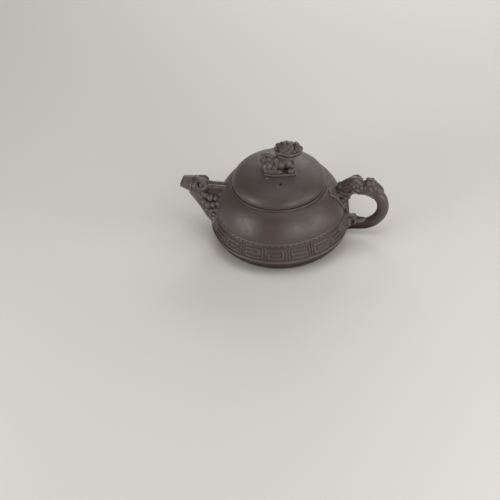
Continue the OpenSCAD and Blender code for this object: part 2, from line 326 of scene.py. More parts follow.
def bore(piece, centre, axis, radius, length):
    """Drills a straight round hole through a piece."""
    side = Vector(axis).to_track_quat("Z", "Y").to_matrix()
    n = 64
    points, faces = [], []
    for k in range(n):
        q = 2 * math.pi * k / n
        for z in (-length / 2, length / 2):
            points.append(Vector(centre) + side @ Vector((radius * math.cos(q),
                                                          radius * math.sin(q), z)))
    for k in range(n):
        m = (k + 1) % n
        faces.append((2 * k, 2 * m, 2 * m + 1, 2 * k + 1))
    faces.append(tuple(range(2 * n - 2, -1, -2)))
    faces.append(tuple(range(1, 2 * n, 2)))
    drill = new_object("drill", [tuple(p) for p in points], faces)
    cut = piece.modifiers.new("bore", "BOOLEAN")
    cut.object = drill
    cut.operation = "DIFFERENCE"
    cut.solver = "EXACT"
    freeze(piece)
    bpy.data.objects.remove(drill)


def freeze(piece):
    """Applies a piece's modifiers."""
    bpy.context.view_layer.update()
    graph = bpy.context.evaluated_depsgraph_get()
    mesh = bpy.data.meshes.new_from_object(piece.evaluated_get(graph))
    piece.modifiers.clear()
    piece.data = mesh


def finish_piece(piece, body, material, slot, *nodes):
    """Gives a piece its clay and its place in the model; it stands for the CAD nodes named."""
    piece.data.materials.clear()
    piece.data.materials.append(material)
    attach(piece, body)
    if nodes:
        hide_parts(*nodes)


# ---------------------------------------------------------------- clay materials

SPECULAR, SHEEN, GRAIN = 0.5, 0.12, 0.35
# Heights in metres between which shade is painted on the clay near the ground
FOOT_SHADE_Z, FOOT_DARK_Z = 0.0145, 0.0095


class NodeKit:
    """Builds the node tree of one material, laid out in each piece's own coordinates."""

    def __init__(self, name):
        self.material = bpy.data.materials.new(name)
        self.material.use_nodes = True
        self.nodes = self.material.node_tree.nodes
        self.links = self.material.node_tree.links
        self.shader = self.nodes["Principled BSDF"]
        self.place = self.add("ShaderNodeTexCoord").outputs["Object"]

    def add(self, kind, **settings):
        node = self.nodes.new(kind)
        for key, value in settings.items():
            setattr(node, key, value)
        return node

    def feed(self, value, socket):
        """Links a node's output to a socket, or sets a constant on it."""
        if isinstance(value, bpy.types.NodeSocket):
            self.links.new(value, socket)
        else:
            socket.default_value = value

    def noise(self, scale, detail):
        node = self.add("ShaderNodeTexNoise")
        node.inputs["Scale"].default_value = scale
        node.inputs["Detail"].default_value = detail
        node.inputs["Roughness"].default_value = 0.55
        self.links.new(self.place, node.inputs["Vector"])
        return node.outputs["Fac"]

    def mapped(self, value, low, high, to_low=0.0, to_high=1.0):
        node = self.add("ShaderNodeMapRange")
        for key, number in (("From Min", low), ("From Max", high),
                            ("To Min", to_low), ("To Max", to_high)):
            node.inputs[key].default_value = number
        self.links.new(value, node.inputs["Value"])
        return node.outputs["Result"]

    def maths(self, operation, a, b):
        node = self.add("ShaderNodeMath", operation=operation)
        self.feed(a, node.inputs[0])
        self.feed(b, node.inputs[1])
        return node.outputs["Value"]

    def blend(self, mask, share, a, b):
        """Colour a, turning to colour b where the mask is 1, by at most the given share."""
        node = self.add("ShaderNodeMix", data_type="RGBA")
        factor = [s for s in node.inputs if s.name == "Factor" and s.type == "VALUE"][0]
        self.feed(self.maths("MULTIPLY", mask, share), factor)
        for value, socket in zip((a, b), [s for s in node.inputs if s.type == "RGBA"]):
            constant = not isinstance(value, bpy.types.NodeSocket)
            self.feed((*value, 1) if constant else value, socket)
        return [s for s in node.outputs if s.type == "RGBA"][0]


def tinted(colour, *factors):
    return [c * f for c, f in zip(colour, factors)]


def clay_colour(kit, hollow, dark, light, warm, ridge):
    """Clouded clay with fine specks, with painted shade darkening the hollows and a painted bluish
    highlight on the ridges.
    """
    colour = kit.blend(kit.mapped(kit.noise(26, 4), 0.35, 0.65), 1, dark, light)
    colour = kit.blend(kit.mapped(kit.noise(70, 4), 0.42, 0.66), 0.55, colour, warm)
    # painted highlight: ridges turn a paler, bluish grey; painted shade: hollows turn darker
    painted_ridge_highlight = tinted(light, 0.94 * ridge, 1.02 * ridge, 1.06 * ridge)
    colour = kit.blend(kit.mapped(hollow, -0.05, -0.9), 0.7, colour, painted_ridge_highlight)
    colour = kit.blend(kit.mapped(hollow, 0.05, 1.0), 0.8, colour, tinted(dark, *[0.35] * 3))
    pale_specks = kit.mapped(kit.noise(1500, 2), 0.60, 0.70)
    colour = kit.blend(pale_specks, 0.35, colour, tinted(light, *[2.0] * 3))
    dark_dots = kit.mapped(kit.noise(900, 1), 0.66, 0.72)
    return kit.blend(dark_dots, 0.40, colour, tinted(dark, *[0.45] * 3))


def paint_foot_shade(kit, colour, dark):
    """Paints shade on the lower clay: darker, redder and less glossy from FOOT_SHADE_Z down to
    FOOT_DARK_Z, in metres.
    """
    split = kit.add("ShaderNodeSeparateXYZ")
    kit.links.new(kit.place, split.inputs["Vector"])
    near_ground = kit.mapped(split.outputs["Z"], FOOT_SHADE_Z, FOOT_DARK_Z)
    kit.feed(kit.mapped(near_ground, 0, 1, SPECULAR, 0.12),
             kit.shader.inputs["Specular IOR Level"])
    kit.feed(kit.mapped(near_ground, 0, 1, SHEEN, 0.0), kit.shader.inputs["Sheen Weight"])
    # painted shade: a dark red-brown standing in for the shade on the downward-facing lower wall
    return kit.blend(near_ground, 0.85, colour, tinted(dark, 0.5, 0.36, 0.33))


def clay_grain(kit, depth):
    """Three sizes of unevenness in the clay's surface, up to 0.45 * depth millimetres deep."""
    normal = None
    for scale, detail, height in ((2600, 2, 0.12), (900, 3, 0.22), (150, 3, 0.45)):
        bump = kit.add("ShaderNodeBump")
        bump.inputs["Strength"].default_value = 1.0
        bump.inputs["Distance"].default_value = height * MM * depth
        kit.links.new(kit.noise(scale, detail), bump.inputs["Height"])
        if normal is not None:
            kit.links.new(normal, bump.inputs["Normal"])
        normal = bump.outputs["Normal"]
    kit.links.new(normal, kit.shader.inputs["Normal"])


def clay_material(name, dark, light, warm, rough=0.46, ridge=1.6, foot=False):
    """Unglazed stoneware clay, with painted shade darkening the hollows and a painted highlight on
    the ridges.

    Ridges are lighter by the factor ridge, a painted highlight; with foot, shade is painted on and
    the clay darkens towards the ground."""
    kit = NodeKit(name)
    kit.shader.inputs["Specular IOR Level"].default_value = SPECULAR
    kit.shader.inputs["Sheen Weight"].default_value = SHEEN
    kit.shader.inputs["Sheen Roughness"].default_value = 0.5
    attribute = kit.add("ShaderNodeAttribute", attribute_type="GEOMETRY", attribute_name="hollow")
    hollow = attribute.outputs["Fac"]
    colour = clay_colour(kit, hollow, dark, light, warm, ridge)
    if foot:
        # painted shade towards the ground
        colour = paint_foot_shade(kit, colour, dark)
    kit.links.new(colour, kit.shader.inputs["Base Color"])
    polish = kit.mapped(kit.noise(190, 4), 0.3, 0.7, rough - 0.07, rough + 0.09)
    polish = kit.maths("ADD", polish, kit.mapped(hollow, -1, 1, -0.06, 0.12))
    kit.links.new(polish, kit.shader.inputs["Roughness"])
    clay_grain(kit, GRAIN)
    return kit.material


def srgb(*values):
    """Linear colour from 0 to 255 sRGB values."""
    return [(v / 255 / 12.92) if v / 255 <= 0.04045 else ((v / 255 + 0.055) / 1.055) ** 2.4
            for v in values]


# foot=True paints shade towards the ground; ridge sets how strong the painted highlight on the
# ridges is
BODY_CLAY = clay_material("body_clay", srgb(55, 43, 41), srgb(65, 54, 52), srgb(67, 50, 47),
                          rough=0.42, foot=True)
BAND_CLAY = clay_material("band_clay", srgb(54, 40, 38), srgb(64, 50, 48), srgb(68, 47, 44),
                          rough=0.45, ridge=2.0)
LID_CLAY = clay_material("lid_clay", srgb(57, 46, 44), srgb(66, 56, 53), srgb(66, 51, 48))
KNOB_CLAY = clay_material("knob_clay", srgb(52, 41, 39), srgb(63, 53, 51), srgb(66, 49, 46),
                          rough=0.4, ridge=2.3)
TRIM_CLAY = clay_material("trim_clay", srgb(52, 41, 39), srgb(63, 54, 52), srgb(68, 48, 46),
                          rough=0.4, ridge=2.3)


# ---------------------------------------------------------------- camera, light and floor

# The camera looks at AIM from an azimuth and an elevation, rolled about its own line of sight.
AIM = (-0.0186, -0.0583, 0.03)
CAMERA_AZIMUTH, CAMERA_ELEVATION, CAMERA_ROLL = -83.18, 40.09, -3.46
CAMERA_DISTANCE = 1.1228
LENS_MM = 108.34
# Soft boxes: azimuth, elevation, distance in metres, width and height in metres, watts
SOFT_BOXES = {
    "left_box": (-145, 10, 0.75, 0.36, 0.24, 2.9),
    "right_box": (-58, 10, 0.75, 0.36, 0.24, 1.9),
    "right_high_box": (-40, 55, 0.9, 0.5, 0.5, 1.5),
    "left_high_box": (-140, 55, 0.9, 0.5, 0.5, 0.7),
    "right_side_box": (-15, 30, 0.75, 0.36, 0.24, 0.75),
    "right_low_box": (-21, 4, 0.6, 0.2, 0.12, 0.9),
    "top_box": (0, 90, 1.0, 0.7, 0.7, 2.4),
    "back_box": (90, 25, 0.9, 0.5, 0.4, 2.9),
    "back_right_box": (50, 25, 0.9, 0.5, 0.4, 1.4),
}
LIGHT_AIM = (0, 0, 0.03)
LIGHT_COLOUR = (1.0, 0.985, 0.97)


def direction(azimuth, elevation):
    """Unit vector out towards an azimuth and an elevation in degrees."""
    a, e = math.radians(azimuth), math.radians(elevation)
    return Vector((math.cos(e) * math.cos(a), math.cos(e) * math.sin(a), math.sin(e)))


def aim_camera():
    out = direction(CAMERA_AZIMUTH, CAMERA_ELEVATION)
    level = Vector((0, 0, 1)).cross(out).normalized()
    upright = out.cross(level)
    roll_angle = math.radians(CAMERA_ROLL)
    right = level * math.cos(roll_angle) + upright * math.sin(roll_angle)
    data = bpy.data.cameras.new("camera")
    data.sensor_width = 36
    data.lens = LENS_MM
    data.clip_start = 0.05
    camera = bpy.data.objects.new("camera", data)
    turn = Matrix((right, out.cross(right), out)).transposed().to_4x4()
    place = Vector(AIM) + CAMERA_DISTANCE * out
    camera.matrix_world = Matrix.Translation(place) @ turn
    bpy.context.scene.collection.objects.link(camera)
    bpy.context.scene.camera = camera


def place_box(name, azimuth, elevation, distance, width, height, watts):
    """Soft box that looks at the pot from an azimuth and an elevation in degrees."""
    data = bpy.data.lights.new(name, "AREA")
    data.shape = "RECTANGLE"
    data.size, data.size_y = width, height
    data.energy = watts
    data.color = LIGHT_COLOUR
    lamp = bpy.data.objects.new(name, data)
    out = direction(azimuth, elevation)
    lamp.location = Vector(LIGHT_AIM) + distance * out
    lamp.rotation_euler = (-out).to_track_quat("-Z", "Y").to_euler()
    bpy.context.scene.collection.objects.link(lamp)


def light_studio():
    world = bpy.data.worlds.new("studio")
    bpy.context.scene.world = world
    world.use_nodes = True
    bpy.context.scene.view_settings.view_transform = "Standard"
    background = world.node_tree.nodes["Background"]
    background.inputs["Color"].default_value = (0.93, 0.95, 1.0, 1)
    background.inputs["Strength"].default_value = 0.06
    for name, box in SOFT_BOXES.items():
        place_box(name, *box)


def lay_floor():
    """Plain pale floor with a slow tone variation."""
    reach = 3.0
    floor = new_object("floor", [(x / MM, y / MM, 0) for x, y in
                                 ((-reach, -reach), (reach, -reach), (reach, reach),
                                  (-reach, reach))], [(0, 1, 2, 3)], smooth=False)
    material = bpy.data.materials.new("pale_floor")
    material.use_nodes = True
    nodes, links = material.node_tree.nodes, material.node_tree.links
    shader = nodes["Principled BSDF"]
    shader.inputs["Roughness"].default_value = 0.8
    noise = nodes.new("ShaderNodeTexNoise")
    noise.inputs["Scale"].default_value = 5
    ramp = nodes.new("ShaderNodeValToRGB")
    ramp.color_ramp.elements[0].color = (0.64, 0.62, 0.59, 1)
    ramp.color_ramp.elements[1].color = (0.70, 0.68, 0.65, 1)
    links.new(noise.outputs["Fac"], ramp.inputs["Fac"])
    links.new(ramp.outputs["Color"], shader.inputs["Base Color"])
    floor.data.materials.append(material)


aim_camera()
light_studio()
lay_floor()


# ---------------------------------------------------------------- body

WALL = 3.4
BELLY_R, BELLY_Z = 53.6, 13.5
NECK_R, NECK_Z = 49.4, 27.2
COLLAR_R, COLLAR_IN_R, COLLAR_Z = 36.9, 32.2, 50.2
# Where the spout's channel meets the wall, how wide it is there, and its slope in degrees
ROOT_X, ROOT_Z, ROOT_BORE_R, ROOT_SLOPE = 47.5, 22.5, 6.5, 38
LOWER = [(46, 1.5), (49.5, 4.2), (53.5, 9.5), (BELLY_R, BELLY_Z)]
BAND = [(BELLY_R, BELLY_Z), (53.4, 18), (51.4, 22.8), (NECK_R, NECK_Z)]
SHOULDER = [(NECK_R, NECK_Z), (49.3, 34.8), (43, 46.6), (37.5, 49)]
SHOULDER_IN = [(46, NECK_Z), (46, 33.2), (41, 42.6), (COLLAR_R, 45)]


def make_lower_wall():
    outline = np.vstack([bezier(LOWER, np.linspace(0, 1, 36)),
                         [(BELLY_R - WALL, BELLY_Z), (49.6, 10), (46.6, 4.5), (44, 4.5),
                          (44, 1.5)]])
    piece = lathe("lower_wall_clay", outline, wave=0.1, seed=3)
    finish_piece(piece, "pot", BODY_CLAY, "body_clay", "lower_wall")


def make_shoulder():
    outline = np.vstack([bezier(SHOULDER, np.linspace(0, 1, 48)),
                         [(COLLAR_R, 49), (COLLAR_R, 45)],
                         bezier(SHOULDER_IN, np.linspace(1, 0, 30))])
    piece = lathe("shoulder_clay", outline, wave=0.1, seed=4)
    drill_root(piece)
    finish_piece(piece, "pot", BODY_CLAY, "body_clay", "shoulder")


def drill_root(piece):
    """Drills the spout's channel through the wall."""
    slope = math.radians(ROOT_SLOPE)
    bore(piece, (-ROOT_X, 0, ROOT_Z), (-math.cos(slope), 0, math.sin(slope)), ROOT_BORE_R, 24)


def make_collar():
    outline = np.vstack([[(COLLAR_IN_R, 45), (COLLAR_R, 45)],
                         arc((COLLAR_R - 1.1, COLLAR_Z - 1.1), 1.1, 0, 90),
                         arc((COLLAR_IN_R + 0.5, COLLAR_Z - 0.5), 0.5, 90, 180, 5)])
    piece = lathe("mouth_collar_clay", outline, wave=0.03, seed=5)
    finish_piece(piece, "pot", BODY_CLAY, "body_clay", "mouth_collar")


make_lower_wall()
make_shoulder()
make_collar()


# ---------------------------------------------------------------- lid

LID_Z, RIM_Z, DOME_Z = 50.4, 53.2, 66.4
LID_R = 35.8
DOME = [(LID_R - 0.1, RIM_Z), (33, 63), (12, DOME_Z), (0, DOME_Z)]
DOME_IN = [(28.8, LID_Z), (27.3, 57.4), (10, 62.2), (0, 62.2)]
LID_TURN = 8


def make_lid():
    outline = np.vstack([[(28.8, LID_Z), (LID_R - 0.9, LID_Z)],
                         arc((LID_R - 0.9, LID_Z + 0.9), 0.9, -80, 0, 6),
                         [(LID_R, RIM_Z - 0.6)],
                         bezier(DOME, np.linspace(0, 1, 70)),
                         bezier(DOME_IN, np.linspace(1, 0.02, 40))])
    dome = lathe("lid_dome_clay", outline, wave=0.04, seed=6)
    turn = math.radians(LID_TURN)
    bore(dome, (21 * math.sin(turn), -21 * math.cos(turn), 62), (0, 0, 1), 1.3, 30)
    finish_piece(dome, "lid", LID_CLAY, "lid_clay", "lid_dome")
    flange = lathe("lid_flange_clay", np.vstack([
        [(28.8, LID_Z), (28.8, 42.2)], arc((29.3, 42.4), 0.5, 180, 270, 5),
        arc((31.4, 42.5), 0.6, -90, 0, 6), [(32, LID_Z)]]), wave=0.02, seed=6)
    finish_piece(flange, "lid_seat", LID_CLAY, "lid_clay", "lid_flange")


make_lid()


# ---------------------------------------------------------------- relief band
# A key fret: square spirals and square S bends in turn, with bars between and beads above.

BAND_DEPTH = 1.0
FRET_CELLS = 18
FRET_HALF = 5.6
FRET_LOW, FRET_MID, FRET_TOP = 16.3, 19.35, 22.4
BAR_FROM_EDGE = 1.1
BEADS_PER_CELL = 4
BEAD_Z = 26.1
# Radius at which lengths along the band are measured
BAND_R = 51.5


def line_distance(u, v, a, b):
    """Distance of plane points from the line between a and b."""
    du, dv = b[0] - a[0], b[1] - a[1]
    t = np.clip(((u - a[0]) * du + (v - a[1]) * dv) / max(du * du + dv * dv, 1e-9), 0, 1)
    return np.hypot(u - a[0] - t * du, v - a[1] - t * dv)


def fret_distance(u, height, points, half):
    """Distance from a bent raised line that is 2 * half wide."""
    lines = [line_distance(u, height, a, b) for a, b in zip(points[:-1], points[1:])]
    return np.minimum.reduce(lines) - half


def square_spiral(u, height):
    """Square turn of a key fret round a short bar."""
    side = FRET_HALF
    turn = [(-side, FRET_TOP), (side, FRET_TOP), (side, FRET_LOW), (-side, FRET_LOW),
            (-side, FRET_MID)]
    bar = [(-side / 2, FRET_MID), (side / 2, FRET_MID)]
    return np.minimum(fret_distance(u, height, turn, 0.75), fret_distance(u, height, bar, 0.65))


def meander(u, height):
    """Square S of a key fret."""
    side = FRET_HALF
    bends = [(side, FRET_TOP), (-side, FRET_TOP), (-side, FRET_MID), (side, FRET_MID),
             (side, FRET_LOW), (-side, FRET_LOW)]
    return fret_distance(u, height, bends, 0.7)


def band_pattern(azimuth, height):
    """Height of the pattern over its ground, from 0 to 1, at arrays of azimuth and height."""
    cell = 2 * math.pi * BAND_R / FRET_CELLS
    turns = (azimuth + 180) / 360 * FRET_CELLS
    number = np.floor(turns)
    across = (turns - number - 0.5) * cell
    u = np.where(number % 4 < 2, across, -across)
    fret = np.where(number % 2 == 0, square_spiral(u, height), meander(u, height))
    edge = cell / 2 - BAR_FROM_EDGE
    bar = line_distance(np.abs(across), height, (edge, FRET_LOW - 0.5), (edge, FRET_TOP + 1))
    bar -= 0.55
    step = cell / BEADS_PER_CELL
    beside = across - (np.floor(across / step) + 0.5) * step
    bead = line_distance(beside, height, (-0.6, BEAD_Z), (0.6, BEAD_Z)) - 0.8
    distance = smooth_min(smooth_min(fret, bar, 0.6), bead, 0.5)
    rise = np.clip((0.5 - distance) / 1.15, 0, 1)
    rise = np.sin(rise * math.pi / 2) ** 1.3
    hand = np.sin(azimuth * 0.9 + 2 * np.sin(height)) * np.sin(height * 1.7 + azimuth * 0.31)
    return rise * (0.92 + 0.08 * hand)


def make_band():
    """The band is pressed in a mould: rounded lines stand over a sunk ground."""
    columns, rows = 1440, 60
    t = np.linspace(0, 1, 400)
    curve = bezier(BAND, t)
    z = np.linspace(BELLY_Z, NECK_Z, rows)
    outer_r = np.interp(z, curve[:, 1], curve[:, 0])
    azimuth = np.arange(columns) * 360.0 / columns - 180
    rise = band_pattern(azimuth[None, :], z[:, None])
    border = np.clip(np.minimum(z - BELLY_Z, NECK_Z - z) / 0.9, 0, 1)[:, None]
    rise = 1 - (1 - rise) * border
    radius = outer_r[:, None] - BAND_DEPTH * (1 - rise)
    q = np.radians(azimuth)
    outer = np.stack([radius * np.cos(q), radius * np.sin(q),
                      np.broadcast_to(z[:, None], radius.shape)], 2)
    inner_rows = 8
    inner_z = np.linspace(NECK_Z, BELLY_Z, inner_rows)
    inner_r = np.interp(inner_z, curve[:, 1], curve[:, 0]) - WALL
    inner = np.stack([inner_r[:, None] * np.cos(q), inner_r[:, None] * np.sin(q),
                      np.broadcast_to(inner_z[:, None], (inner_rows, columns))], 2)
    points = np.concatenate([outer, inner]).reshape(-1, 3)
    count = rows + inner_rows
    i, k = np.meshgrid(np.arange(count), np.arange(columns), indexing="ij")
    n, m = (i + 1) % count, (k + 1) % columns
    faces = np.stack([i * columns + k, i * columns + m, n * columns + m, n * columns + k],
                     2).reshape(-1, 4)
    piece = new_object("relief_band_clay", points, faces)
    # hollow values for the band: painted shade on the sunk ground and a painted highlight on the
    # raised lines
    sunk = np.zeros(len(points))
    sunk[:rows * columns] = (0.7 * (1 - rise) ** 1.5 - 0.42 * rise ** 2).ravel()
    add_hollow_attribute(piece, sunk)
    drill_root(piece)
    finish_piece(piece, "pot", BAND_CLAY, "band_clay", "relief_band")


def make_thread(name, node, radius, height, thickness):
    """Thread of clay laid along an edge of the band."""
    outline = arc((radius, height), thickness, 0, 360, 20)[:-1]
    piece = lathe(name, outline, wave=0.12, seed=8)
    # painted highlight: the whole thread takes the pale ridge colour
    add_hollow_attribute(piece, np.full(len(piece.data.vertices), -0.75))
    finish_piece(piece, "pot", BAND_CLAY, "band_clay", node)


make_band()
make_thread("lower_thread_clay", "band_fillet_lower", 53.1, 13.3, 0.8)
make_thread("upper_thread_clay", "band_fillet_upper", 49.2, 27.4, 0.8)


# ---------------------------------------------------------------- modelled clay shapes

STEP = 0.28


def ring(centre, normal, radius, thickness, steps=20):
    """Closed ring of clay round a centre, as points for roll()."""
    side, up = plane_of(normal)
    points = []
    for q in np.linspace(0, 2 * math.pi, steps + 1):
        p = np.asarray(centre, float) + radius * (math.cos(q) * side + math.sin(q) * up)
        points.append([*p, thickness])
    return points


def plane_of(normal):
    """Two directions square to a normal: one level, the other as upright as it can be."""
    n = unit(normal)
    side = np.cross([0, 0, 1], n)
    if np.linalg.norm(side) < 0.1:
        side = np.cross([1, 0, 0], n)
    side = unit(side)
    return side, unit(np.cross(n, side))


def curl(centre, normal, radius, thickness, start=0, turns=1.3):
    """Spiral lock of hair that winds in towards a centre, as points for roll()."""
    side, up = plane_of(normal)
    steps = max(8, int(12 * turns))
    points = []
    for i in range(steps + 1):
        f = i / steps
        q = math.radians(start) + f * turns * 2 * math.pi
        r = radius * (1 - 0.78 * f)
        p = (np.asarray(centre, float) + r * (math.cos(q) * side + math.sin(q) * up)
             + unit(normal) * thickness * 0.5 * f)
        points.append([*p, thickness * (1 - 0.15 * f)])
    return points


def pot_distance(x, y, z):
    """Distance from the outer face of the pot's body, below zero inside the clay."""
    heights, radii = POT_OUTLINE[:, 1], POT_OUTLINE[:, 0]
    radius = np.interp(z, heights, radii).astype(np.float32)
    lean = np.interp(z, heights, POT_LEAN).astype(np.float32)
    return (np.sqrt(x * x + y * y) - radius) * lean


POT_OUTLINE = np.vstack([bezier(LOWER, np.linspace(0, 1, 40)),
                         bezier(BAND, np.linspace(0.02, 1, 30)),
                         bezier(SHOULDER, np.linspace(0.02, 1, 50))])
POT_SLOPE = np.gradient(POT_OUTLINE, axis=0)
POT_LEAN = POT_SLOPE[:, 1] / np.maximum(np.hypot(POT_SLOPE[:, 0], POT_SLOPE[:, 1]), 1e-6)


def settle(clay, blend=2.5, skirt=3.0, depth=1.4):
    """Lutes a lump to the pot's wall with a fillet, and trims it inside the wall."""
    wall = clay.everywhere(pot_distance)
    before = clay.field
    joined = smooth_min(before, wall + 0.12, blend)
    clay.field = np.maximum(np.maximum(joined, before - skirt), -wall - depth)
    clay.field = clay.field.astype(np.float32)


# ---------------------------------------------------------------- spout

SPOUT = [(ROOT_X, ROOT_Z), (54, 27), (63.5, 42), (74, 49.2)]
SPOUT_END = np.array([74.2, 0, 49.3])
POUR = unit([0.9, 0, 0.46])


def spout_line(start, end, steps, radius):
    """Points of [x, 0, z, radius] along the spout's middle; radius is a function of t."""
    t = np.linspace(start, end, steps)
    line = bezier(SPOUT, t)
    return [[x, 0, z, radius(a)] for (x, z), a in zip(line, t)]


def cut_channel(clay):
    """Bores the channel through and opens the end, square to the pouring direction."""
    clay.cut(roll(spout_line(0, 1, 14, lambda t: ROOT_BORE_R - 2.8 * t), 1), 0.3)
    tip = SPOUT_END + 4 * POUR
    clay.cut(roll([[*(SPOUT_END - 1.5 * POUR), 3.7], [*tip, 3.8]], 1), 0.3)
    root = np.array([ROOT_X, 0, ROOT_Z])
    inward = unit([-0.79, 0, -0.61])
    clay.cut(roll([[*root, ROOT_BORE_R], [*(root + 9 * inward), ROOT_BORE_R]], 1), 0.3)


def locks(clay, spots, lean=(0.35, 1.0, 0.45)):
    """Crowded curled locks of hair, each [x, y, z, size, start angle]."""
    normal = unit(lean)
    for x, y, z, size, start in spots:
        clay.add(ball((x, y, z), size), 0.5)
    for x, y, z, size, start in spots:
        face = np.array([x, y, z]) + normal * size * 0.98
        clay.cut(roll(curl(face, normal, size * 0.6, size * 0.17, start=start, turns=1.0), 1),
                 0.25)


def snout_ring(centre, radius, thick):
    """Roll of clay that runs round the snout."""
    return roll(ring(centre, (0.99, 0, 0.12), radius, thick), 1)


def make_spout_neck():
    neck = Clay((44, -15, 8), (69, 15, 49), STEP, fold=True)
    neck.add(roll(spout_line(0.05, 0.72, 9, lambda t: 11.6 - 11.4 * t + 4.0 * t * t), 2), 0.5)
    neck.add(roll([[57.5, 0, 40, 4.6], [51, 0, 39, 5.4], [45, 0, 37.5, 5.8]]), 1.5)
    neck.add(roll([[55.4, 1.5, 23.5, 3.2], [54.2, 1.5, 18.6, 3.0], [52.6, 1, 14.6, 2.0]]), 2.5)
    locks(neck, [
        (59.6, 5.0, 38.6, 2.2, 40), (56.2, 5.6, 40.0, 2.2, 200), (58.0, 6.9, 35.0, 2.3, 300),
        (52.6, 6.2, 38.4, 3.0, 60), (48.6, 6.6, 38.0, 2.3, 250), (54.6, 8.2, 33.0, 2.7, 120),
        (50.6, 8.8, 33.4, 2.5, 330), (47.4, 8.6, 34.6, 1.9, 90), (55.4, 8.8, 28.6, 2.0, 210),
        (52.2, 9.9, 28.4, 2.4, 100), (49.2, 10.4, 29.6, 2.0, 20), (52.8, 9.8, 24.4, 1.9, 0),
        (50.2, 10.8, 25.6, 1.7, 240), (51.4, 9.9, 21.4, 1.5, 130)])
    for side in (3.2, 5.6):
        neck.cut(roll([[62.4, side, 31.8, 0.3], [59.6, side + 0.6, 26, 0.4],
                       [57.6, side + 0.8, 19.6, 0.3]]), 0.3)
    settle(neck, 2.4, 2.8)
    cut_channel(neck)
    finish_piece(sculpt("spout_neck", neck, to_spout=True), "pot", TRIM_CLAY, "trim_clay",
                 "spout_tube", "spout_mane")


def make_spout_head():
    head = Clay((53, -10, 31), (79, 10, 57), STEP, fold=True)
    head.add(egg((60.8, 0, 46.2), (6.6, 6.4, 6.4), (0, -12, 0)), 0.5)
    # snout: deep at the cheeks, tapering to the lips round the open end
    head.add(roll([[60.5, 0, 46, 6.2], [64.4, 0, 46.4, 6.8], [67.2, 0, 47.2, 6.3],
                   [70, 0, 48.1, 5.6], [72.6, 0, 48.8, 5.0], [75.6, 0, 50.4, 4.7]]), 1.2)
    head.add(roll([[67.0, 0, 43.6, 2.4], [64.6, 0, 40.8, 3.2], [62.0, 0, 37.8, 4.0],
                   [59.5, 0, 34.6, 4.6]]), 0.8)
    # ridge where the smooth snout ends, with the nose's folds behind it
    for x, radius, thick in ((67.6, 6.1, 0.6), (64.8, 6.7, 0.35)):
        head.add(snout_ring((x, 0, 47.0), radius, thick), 0.35)
    for x, radius in ((66.6, 6.7), (63.8, 7.0)):
        head.cut(snout_ring((x, 0, 46.8), radius, 0.4), 0.3)
    head.cut(egg((65.6, 3.0, 53.2), (1.5, 1.6, 1.4)), 0.5)
    # eye in its hollow under an arched brow that comes down behind it
    head.cut(egg((60.0, 5.4, 50.4), (2.8, 2.2, 2.5), (-42, 0, 0)), 0.6)
    head.add(roll([[63.4, 3.0, 50.6, 1.1], [61.6, 2.6, 51.5, 1.4], [59.0, 2.8, 51.4, 1.6],
                   [56.9, 4.0, 49.9, 1.6], [55.9, 5.0, 47.6, 1.4]]), 0.6)
    head.add(ball((59.8, 4.8, 49.5), 1.6), 0.2)
    head.cut(ball((60.1, 5.9, 50.6), 0.5), 0.3)
    head.add(roll([[63.8, 5.2, 47.6, 0.8], [61.4, 6.2, 46.8, 1.1], [58.6, 6.4, 46.6, 1.1],
                   [56.4, 5.8, 46.8, 0.8]]), 0.5)
    # mouth line, cheek, jaw hinge and beard
    head.cut(roll([[75.4, 3.6, 46.6, 0.3], [72, 4.8, 45.6, 0.4], [68, 6.0, 44.2, 0.5],
                   [64.4, 6.6, 43.2, 0.55], [60.4, 6.4, 43.0, 0.5], [56.6, 5.6, 43.6, 0.4]]), 0.3)
    locks(head, [(64.2, 4.2, 39.8, 1.7, 60), (61.4, 5.2, 40.6, 1.6, 250),
                 (58.4, 5.8, 42.0, 1.7, 20)])
    for x, z in ((66.6, 40.9), (65.1, 38.6), (63.3, 36.4)):
        head.add(roll([[x, 2.4, z, 1.1], [x + 0.7, 2.0, z - 1.8, 0.7]]), 0.4)
    plane = float(SPOUT_END @ POUR)
    head.keep(lambda x, y, z: x * POUR[0] + z * POUR[2] - plane - 0.75)
    cut_channel(head)
    finish_piece(sculpt("spout_head_clay", head, to_spout=True), "pot", TRIM_CLAY, "trim_clay",
                 "spout_head", "spout_jaw", "spout_eyes")


def make_spout_horns():
    """Two horns laid back along the neck, side by side, and joined underneath."""
    horn = Clay((40, -8, 36), (61, 8, 52), STEP, fold=True)
    horn.add(roll([[58, 3.0, 48.2, 1.4], [55.4, 2.5, 46.6, 1.8], [50.5, 2.3, 45.6, 1.9],
                   [46, 2.3, 45.2, 1.9], [42.2, 2.2, 45, 1.8]]), 0.3)
    horn.add(roll([[57, 0, 44.4, 2.6], [50, 0, 43.4, 3.0], [43.4, 0, 43, 3.0]]), 1.2)
    horn.cut(roll([[56, 4.4, 46.4, 0.35], [50.5, 4.3, 45.4, 0.4], [45, 4.2, 45.0, 0.35]]), 0.3)
    for x in (54.4, 51.6, 48.8, 46.2):
        horn.cut(roll([[x, 1.4, 47.6, 0.25], [x - 0.5, 3.2, 47.2, 0.3],
                       [x - 0.8, 4.3, 45.6, 0.25]], 2), 0.25)
    settle(horn, 1.2, 1.5, 1.0)
    finish_piece(sculpt("spout_horns_clay", horn, to_spout=True), "pot", TRIM_CLAY, "trim_clay",
                 "spout_horns")


make_spout_neck()
make_spout_head()
make_spout_horns()


# ---------------------------------------------------------------- handle

LOOP_X, LOOP_Z, LOOP_R = 61.8, 27.3, 17.7


def loop_point(angle_deg, out=0.0, side=0.0):
    """Point by the loop's middle line: out from the loop's centre, and to the side."""
    q = math.radians(angle_deg)
    return [LOOP_X + (LOOP_R + out) * math.cos(q), side, LOOP_Z + (LOOP_R + out) * math.sin(q)]


def loop_half(angle_deg):
    return 4.2 + 0.7 * (angle_deg + 90) / 180


